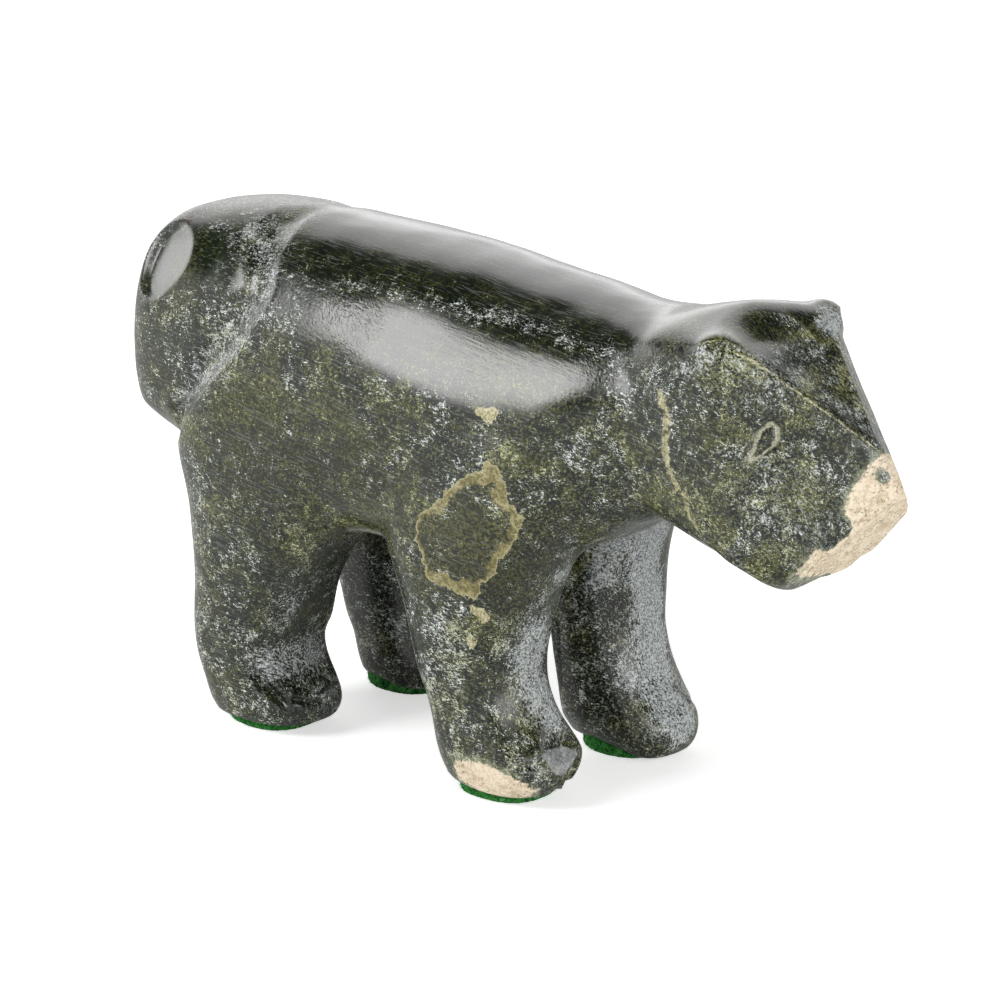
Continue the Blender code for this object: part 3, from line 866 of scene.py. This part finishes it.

# Where the pale flecks crowd together, and where polish or plain stone has none
flecked = any_of(
    0.15 * ramp(-height, -44.0, -30.0),
    0.22 * ramp(along, 50.0, 60.0),
    0.50 * near([(67.0, -9.0, 91.0), (73.0, -6.0, 87.0), (80.0, -3.0, 82.0)], 9.0),
    0.45 * both(VALLEY_FLOOR, 10.0),
    0.55 * both([(-24.0, -20.0, 93.0), (10.0, -17.5, 91.0), (34.0, -17.0, 89.0)], 6.0),
    0.50 * both([(34.0, -18.0, 84.0), (48.0, -18.0, 86.0)], 7.0),
    0.35 * both([(-61.0, -26.0, 48.0), (-61.0, -27.0, 30.0)], 8.0),
    1.0 * both([(8.0, -28.0, 33.0), (3.0, -28.0, 20.0)], 9.0),
)
# Painted shade: no flecks under the ear lips or in the hind-foot grooves
painted_groove_shade = any_of(both(HIND_GROOVE, 2.0), 0.6 * both(UNDER_LIP, 0.9))
marked("flecked", np.clip(flecked, 0.0, 1.0) - 2.4 * polish - 0.75 * plain - 3.0 * painted_groove_shade)

# The stone itself, as a rubbed surface shows it: mottled dark green, salted with pale flecks,
# glossy where it was polished and frosted where a wire brush went over it.
stone = bpy.data.materials.new("soapstone")
stone.use_nodes = True


class Recipe:
    """Adds nodes to a material: each call makes one and gives back its output."""

    def __init__(self, material):
        self.tree = material.node_tree
        self.shader = self.tree.nodes["Principled BSDF"]
        self.place = self.node("TexCoord", out="Object")

    def node(self, kind, inputs=None, out=0, **settings):
        made = self.tree.nodes.new("ShaderNode" + kind)
        for name, value in settings.items():
            setattr(made, name, value)
        for socket, value in (inputs or {}).items():
            self.put(made.inputs[socket], value)
        return made.outputs[out]

    def put(self, socket, value):
        if isinstance(value, bpy.types.NodeSocket):
            self.tree.links.new(value, socket)
        else:
            socket.default_value = value

    def shade(self, values):
        """Gives the shader's own sockets their values, by name."""
        for name, value in values.items():
            self.put(self.shader.inputs[name], value)

    def marking(self, name):
        return self.node("Attribute", out="Fac", attribute_name=name)

    def noise(self, size, detail, rough, warp=0.0):
        """A noise whose patches are about that many millimetres across."""
        inputs = {"Vector": self.place, "Scale": 1.0 / (size * MM), "Detail": detail,
                  "Roughness": rough, "Distortion": warp}
        return self.node("TexNoise", inputs)

    def strokes(self, turn, long, wide, detail, warp):
        """A noise drawn out into strokes along a turned X direction, in degrees and millimetres."""
        inputs = {"Vector": self.place, "Rotation": [math.radians(t) for t in turn],
                  "Scale": (long * MM, wide * MM, wide * MM)}
        place = self.node("Mapping", inputs, vector_type="TEXTURE")
        inputs = {"Vector": place, "Scale": 1.0, "Detail": detail, "Distortion": warp}
        return self.node("TexNoise", inputs)

    def level(self, value, low, high, start=0.0, end=1.0):
        """Start at low and end at high, easing between them."""
        inputs = {"Value": value, "From Min": low, "From Max": high, "To Min": start, "To Max": end}
        return self.node("MapRange", inputs, out="Result", interpolation_type="SMOOTHSTEP")

    def math(self, operation, a, b=0.0):
        return self.node("Math", {0: a, 1: b}, operation=operation)

    def times(self, first, *others):
        for other in others:
            first = self.math("MULTIPLY", first, other)
        return first

    def plus(self, first, *others):
        for other in others:
            first = self.math("ADD", first, other)
        return first

    def blend(self, *parts):
        """The sum of values, each times its own share."""
        return self.plus(*[self.times(value, share) for value, share in parts])

    def centred(self, noise):
        """A noise about 0 instead of about a half."""
        return self.plus(noise, -0.5)

    def from_line(self, distance, *wobbles):
        """How far the surface is from a line that wobbles, on either side of it."""
        return self.math("ABSOLUTE", self.plus(distance, *wobbles))

    def without(self, value, other):
        """The value where the other mask is 0."""
        return self.math("MULTIPLY", value, self.math("SUBTRACT", 1.0, other))

    def tint(self, under, over, amount):
        """One colour laid over another by an amount from 0 to 1."""
        made = self.tree.nodes.new("ShaderNodeMix")
        made.data_type = "RGBA"
        for socket, value in ((made.inputs[0], amount), (made.inputs[6], under), (made.inputs[7], over)):
            self.put(socket, (*value, 1.0) if isinstance(value, tuple) else value)
        return made.outputs[2]


mix = Recipe(stone)
clouds = mix.noise(13.0, 3.0, 0.6, 0.6)
mottle = mix.noise(2.6, 3.0, 0.7, 1.0)
clump = mix.noise(5.0, 2.0, 0.6, 0.4)
fine = mix.noise(0.5, 3.0, 0.8)
grain = mix.noise(0.55, 2.0, 0.6)
ragged = mix.centred(mix.noise(1.8, 3.0, 0.65))
strokes_down = mix.strokes((0.0, 50.0, 0.0), 2.2, 0.22, 1.0, 0.5)
strokes_along = mix.strokes((0.0, 9.0, 0.0), 6.0, 0.32, 1.0, 0.35)
strokes_across = mix.strokes((0.0, 4.0, 42.0), 3.2, 0.28, 1.0, 0.4)
polish, pale, plain, darker_and_painted_shade, flecked, crosswise, inner = (
    mix.marking(name) for name in ("polish", "pale", "plain", "darker_and_painted_shade", "flecked", "crosswise", "grain")
)

# body of the stone: near-black green to dark olive, with lighter yellow-green clouds
body = mix.level(mix.blend((mottle, 0.45), (clouds, 0.3), (fine, 0.25)), 0.43, 0.54)
colour = mix.tint((0.003, 0.006, 0.002), (0.054, 0.062, 0.014), body)
cloudy = mix.times(mix.level(clouds, 0.46, 0.62), mix.level(mottle, 0.40, 0.58, 0.2, 1.0))
colour = mix.tint(colour, (0.086, 0.089, 0.017), cloudy)
leafy = mix.times(mix.marking("green"), mix.level(mottle, 0.44, 0.58), 0.9)
colour = mix.tint(colour, (0.024, 0.055, 0.006), leafy)
colour = mix.tint(colour, (0.035, 0.039, 0.008), mix.times(plain, 0.6))
in_patch = mix.times(mix.level(mix.marking("patch"), 0.0, -1.0), mix.level(mottle, 0.42, 0.6, 0.25, 0.7))
colour = mix.tint(colour, (0.086, 0.084, 0.022), in_patch)
# darker places, partly painted shade along the back, under the ear lips and in the grooves
colour = mix.tint(colour, (0.003, 0.008, 0.002), mix.times(darker_and_painted_shade, mix.level(mottle, 0.42, 0.56, 0.95, 0.6)))

# salt-and-pepper grain, strongest on the unpolished inner faces of the legs
pepper = mix.times(mix.level(grain, 0.52, 0.44), mix.plus(mix.times(inner, 0.1), 0.85))
colour = mix.tint(colour, (0.003, 0.005, 0.003), pepper)
outer_salt = mix.without(mix.level(darker_and_painted_shade, 0.0, 0.8, 0.50, 0.12), mix.times(plain, 0.5))
salt = mix.times(mix.level(grain, 0.56, 0.66), mix.plus(mix.times(inner, 0.50), outer_salt))
colour = mix.tint(colour, mix.tint((0.205, 0.220, 0.105), (0.250, 0.258, 0.210), inner), salt)

# frosty haze in small clumps
frost = mix.level(mix.blend((mottle, 0.35), (clump, 0.2), (fine, 0.45), (flecked, 0.035)), 0.50, 0.60)
haze = mix.times(mix.without(frost, darker_and_painted_shade), mix.level(flecked, -0.6, 0.9, 0.0, 0.30))
colour = mix.tint(colour, (0.130, 0.160, 0.162), haze)

# flecks: short ragged white and yellowish grains in clumps, lying aslant or along the body
crowd = mix.blend((clump, 0.33), (mottle, 0.50), (clouds, 0.17), (flecked, 0.09))
aslant = mix.strokes((20.0, 38.0, 0.0), 0.75, 0.26, 3.0, 0.9)
lengthwise = mix.strokes((0.0, -6.0, 0.0), 1.1, 0.26, 2.0, 0.8)
flecks = mix.level(mix.plus(mix.math("MAXIMUM", aslant, lengthwise), crowd), 1.156, 1.182)
yellowing = mix.without(mix.level(mix.blend((clouds, 0.7), (mottle, 0.3)), 0.48, 0.60), darker_and_painted_shade)
fleck_tint = mix.tint((0.76, 0.81, 0.80), (0.50, 0.51, 0.26), yellowing)
colour = mix.tint(colour, fleck_tint, mix.times(flecks, mix.level(fine, 0.38, 0.56, 0.15, 1.0)))

# faces brushed pale with a wire brush, broken up where the stone is harder
brush = mix.plus(mix.without(strokes_down, crosswise), mix.times(strokes_across, crosswise))
brush_share = mix.plus(mix.times(crosswise, 1.4), 1.8)
broken_up = mix.blend((mix.centred(mottle), 1.7), (mix.centred(brush), brush_share), (mix.centred(fine), 2.2))
brushed = mix.times(mix.level(mix.plus(pale, broken_up), 0.46, 0.90), mix.level(pale, 0.02, 0.2))
streaks = mix.level(mix.blend((strokes_along, 0.5), (fine, 0.5)), 0.42, 0.60)
brushed_tint = mix.tint((0.14, 0.165, 0.17), (0.78, 0.81, 0.80), streaks)
colour = mix.tint(colour, brushed_tint, mix.times(brushed, 0.9))

# fine brush scratches along the back and flanks
scratches = mix.level(strokes_along, 0.56, 0.68)
colour = mix.tint(colour, (0.26, 0.28, 0.27), mix.times(scratches, mix.level(pale, 0.0, 0.4, 0.20, 0.7)))

# the toe chip, scraped flat to paler stone
scraped = mix.level(mix.plus(mix.marking("scraped"), mix.times(ragged, 1.2)), 0.3, -0.1)
chip_shade = mix.level(mix.blend((fine, 0.6), (mottle, 0.4)), 0.40, 0.58)
chip_tint = mix.tint((0.15, 0.16, 0.16), (0.42, 0.43, 0.43), chip_shade)
colour = mix.tint(colour, chip_tint, mix.times(scraped, 0.85))

# yellow rim of the shoulder patch, with a paler line at its very edge
rim_depth = mix.times(mix.plus(mix.marking("patch"), mix.times(ragged, 3.4)), -1.0)
rim_width = mix.times(mix.marking("rim"), mix.level(clump, 0.35, 0.65, 0.45, 1.6))
rim_inside = mix.level(mix.plus(rim_depth, mix.times(rim_width, -1.0)), 0.6, -0.5)
rim = mix.times(mix.level(rim_depth, -0.05, 0.1), rim_inside)
rim_edge = mix.times(mix.level(rim_depth, -0.05, 0.08), mix.level(rim_depth, 0.5, 0.2))
even_shade = mix.blend((mottle, 0.5), (fine, 0.5))
rim_tint = mix.tint((0.155, 0.130, 0.036), (0.42, 0.38, 0.19), mix.level(even_shade, 0.44, 0.62))
colour = mix.tint(colour, rim_tint, mix.times(rim, 0.9))
colour = mix.tint(colour, (0.52, 0.49, 0.30), mix.times(rim_edge, 0.5))

# vein down the neck, and the finer, paler one along the ridge
wander = mix.times(ragged, 2.2)
vein_gap = mix.from_line(mix.marking("vein"), mix.times(wander, 1.5))
vein = mix.times(mix.level(vein_gap, 1.1, 0.3), mix.level(mottle, 0.40, 0.50, 0.35, 1.0))
vein_tint = mix.tint((0.17, 0.15, 0.05), (0.56, 0.52, 0.32), mix.level(even_shade, 0.42, 0.58))
colour = mix.tint(colour, vein_tint, mix.times(vein, 0.85))
ridge_gap = mix.from_line(mix.marking("ridge"), mix.times(wander, 0.45))
ridge_breaks = mix.level(mix.blend((clump, 0.5), (fine, 0.5)), 0.42, 0.54, 0.15, 0.95)
ridge_tint = mix.tint((0.34, 0.32, 0.15), (0.74, 0.71, 0.50), mix.level(fine, 0.40, 0.58))
colour = mix.tint(colour, ridge_tint, mix.times(mix.level(ridge_gap, 0.6, 0.15), ridge_breaks))

# eye lines, small yellowish spots and specks of rust
eye_gap = mix.from_line(mix.marking("eye"), mix.times(ragged, 1.5), mix.times(mix.centred(fine), 0.9))
eye = mix.level(eye_gap, mix.level(clump, 0.40, 0.60, 0.45, 0.80), 0.15)
colour = mix.tint(colour, (0.50, 0.49, 0.35), mix.times(eye, mix.level(fine, 0.38, 0.56, 0.30, 1.0)))
spot = mix.marking("spots")
spots = mix.level(mix.plus(spot, mix.times(ragged, 2.4)), 0.52, 0.66)
spot_tint = mix.tint((0.26, 0.23, 0.09), (0.58, 0.54, 0.36), mix.level(fine, 0.42, 0.58))
colour = mix.tint(colour, spot_tint, mix.times(spots, mix.level(spot, 0.02, 0.2)))
rust = mix.times(mix.marking("rust"), mix.level(fine, 0.45, 0.6))
colour = mix.tint(colour, (0.16, 0.075, 0.018), mix.times(rust, 0.8))

# cream ends: the block's weathered outside, with a greenish fringe and thin brown cracks
cream_depth = mix.plus(mix.marking("cream"), wander, mix.times(mix.centred(fine), 1.6))
cream = mix.level(cream_depth, -0.2, 0.35)
fringe = mix.times(mix.level(cream_depth, -1.3, -0.3), mix.level(mottle, 0.42, 0.56, 0.15, 0.7))
colour = mix.tint(colour, (0.30, 0.32, 0.21), fringe)
cream_tint = mix.tint((0.62, 0.49, 0.33), (0.88, 0.77, 0.60), mix.level(even_shade, 0.40, 0.56))
crack = mix.level(mix.from_line(ragged), 0.04, 0.01)
cracks = mix.times(crack, mix.level(mix.blend((clump, 0.5), (grain, 0.5)), 0.49, 0.58), 0.8)
colour = mix.tint(colour, mix.tint(cream_tint, (0.24, 0.17, 0.09), cracks), cream)

# gloss, and the fine marks that the rasp, the brush and the rubbing left
rough = mix.plus(
    mix.level(polish, 0.0, 1.0, 0.25, 0.14),
    mix.blend((flecks, 0.2), (scratches, 0.08), (brushed, 0.2), (cream, 0.4), (scraped, -0.05)),
)
rasp_marks = mix.strokes((0.0, 55.0, 0.0), 1.3, 0.45, 1.0, 0.8)
tool_marks = mix.blend(
    (strokes_along, mix.level(polish, 0.0, 1.0, 0.35, 1.5)),
    (brush, mix.level(pale, 0.0, 1.0, 0.3, 1.4)),
    (fine, mix.level(mix.marking("cream"), -0.5, 0.5, 0.5, 2.2)),
    (rasp_marks, mix.level(mix.marking("rasped"), 0.0, 1.0, 0.8, 6.0)),
)
bump = mix.node("Bump", {"Strength": 1.0, "Distance": 0.014 * MM, "Height": tool_marks})
mix.shade({"Base Color": colour, "Roughness": rough, "Normal": bump, "IOR": 1.55})
bear.data.materials.clear()
bear.data.materials.append(stone)

# Felt pads: four ovals cut by hand from green craft felt about 2 mm thick, one glued under
# each foot. The matted wool is lumpy, and loose hairs stand out round the cut edge.
FELT_STEP = 0.4
CUT_IN = 0.55
CUT_WAVES = 0.20
FRAYED = 0.05
LUMPY = 0.035
PAD_GAP = 0.01
HAIRS = 420
HAIR_RADIUS = 0.045
HAIR_RINGS = 4
HAIR_SIDES = 3

felt_green = bpy.data.materials.new("felt_green")
felt_green.use_nodes = True
mix = Recipe(felt_green)
wool = mix.noise(0.7, 3.0, 0.75, 0.8)
lumps = mix.noise(2.2, 2.0, 0.6)
colour = mix.tint((0.004, 0.045, 0.009), (0.045, 0.240, 0.045), mix.level(wool, 0.38, 0.60))
bright_lumps = mix.times(mix.level(lumps, 0.50, 0.64), mix.level(wool, 0.42, 0.58, 0.15, 0.8))
colour = mix.tint(colour, (0.110, 0.360, 0.100), bright_lumps)
bump = mix.node("Bump", {"Strength": 1.0, "Distance": 0.08 * MM, "Height": wool})
mix.shade({"Base Color": colour, "Roughness": 0.95, "Normal": bump, "Specular IOR Level": 0.15})


def hair(start, outward, length, lift, curl):
    """A short tapering wool hair's points, leaving the felt at start and bending sideways."""
    sideways = np.cross(UP, outward)
    rows = []
    for i in range(HAIR_RINGS):
        t = i / (HAIR_RINGS - 1)
        middle = start + outward * length * t + sideways * curl * t * t + UP * lift * t
        for k in range(HAIR_SIDES):
            turn = 2 * math.pi * k / HAIR_SIDES
            ring = sideways * math.cos(turn) + UP * math.sin(turn)
            rows.append(middle + ring * HAIR_RADIUS * (1.05 - t))
    return rows


def hair_faces(first):
    """The faces of the hair whose points start at that number."""
    faces = []
    for ring in range(HAIR_RINGS - 1):
        for k in range(HAIR_SIDES):
            a = first + HAIR_SIDES * ring + k
            b = first + HAIR_SIDES * ring + (k + 1) % HAIR_SIDES
            faces.append([a, b, b + HAIR_SIDES, a + HAIR_SIDES])
    tip = first + HAIR_SIDES * (HAIR_RINGS - 1)
    return faces + [[tip, tip + 1, tip + 2], [first + 2, first + 1, first]]


for order, node in enumerate(PADS):
    chance = np.random.default_rng(40 + order)
    pad = bpy.data.objects.new(node.replace("felt_pad", "felt"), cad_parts[node].data.copy())
    bpy.context.scene.collection.objects.link(pad)
    pad.matrix_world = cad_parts[node].matrix_world.copy()
    matted = pad.modifiers.new("matted", "REMESH")
    matted.mode = "VOXEL"
    matted.voxel_size = FELT_STEP * MM
    applied(pad)

    # The cut edge wanders, and the matted top and sides are lumpy
    felt = points_of(pad.data)
    low, high = felt.min(axis=0), felt.max(axis=0)
    middle = (low + high) / 2
    outward = (felt - middle) * (1.0, 1.0, 0.0)
    outward /= np.maximum(np.linalg.norm(outward, axis=1), 0.1)[:, None]
    rim = ramp(np.linalg.norm((felt - middle)[:, :2] / (high - middle)[:2], axis=1), 0.75, 0.98)
    phase = chance.uniform(0.0, 6.0, 6)
    around = np.arctan2(outward[:, 1], outward[:, 0])
    wavy = sum(np.sin(around * k + phase[k - 2]) / k for k in range(2, 8))
    felt += outward * ((wavy * CUT_WAVES - CUT_IN + chance.normal(0.0, FRAYED, len(felt))) * rim)[:, None]
    felt[:, 2] += chance.normal(0.0, LUMPY, len(felt))
    felt = np.clip(felt, low + PAD_GAP, high - PAD_GAP)
    if "left" in node:
        share = (felt[:, 2] - low[2]) / (high[2] - low[2])
        felt[:, 2] += thick_edge(felt, middle, high - middle) * share

    # Loose hairs leave the edge a little above the table
    faces = [list(face.vertices) for face in pad.data.polygons]
    rows = list(felt)
    edge = np.flatnonzero((rim > 0.7) & (felt[:, 2] > low[2] + 0.25))
    for i in chance.choice(edge, HAIRS):
        faces.extend(hair_faces(len(rows)))
        length = chance.uniform(0.25, 0.75)
        lift = chance.uniform(-0.35, 0.25)
        curl = chance.uniform(-0.6, 0.6)
        rows.extend(hair(felt[i] - outward[i] * 0.1, outward[i], length, lift, curl))
    rows = np.array(rows)
    rows[:, 2] = np.clip(rows[:, 2], low[2] + PAD_GAP, felt[:, 2].max())
    mesh = bpy.data.meshes.new(pad.name)
    mesh.from_pydata([tuple(row * MM) for row in rows], [], faces)
    mesh.shade_smooth()
    mesh.materials.append(felt_green)
    pad.data = mesh
    width, length = sorted((high - low)[:2] * MM)
    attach(pad, "root")
    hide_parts(node)

# Bounds of the finished bear and its pads.
low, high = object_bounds()
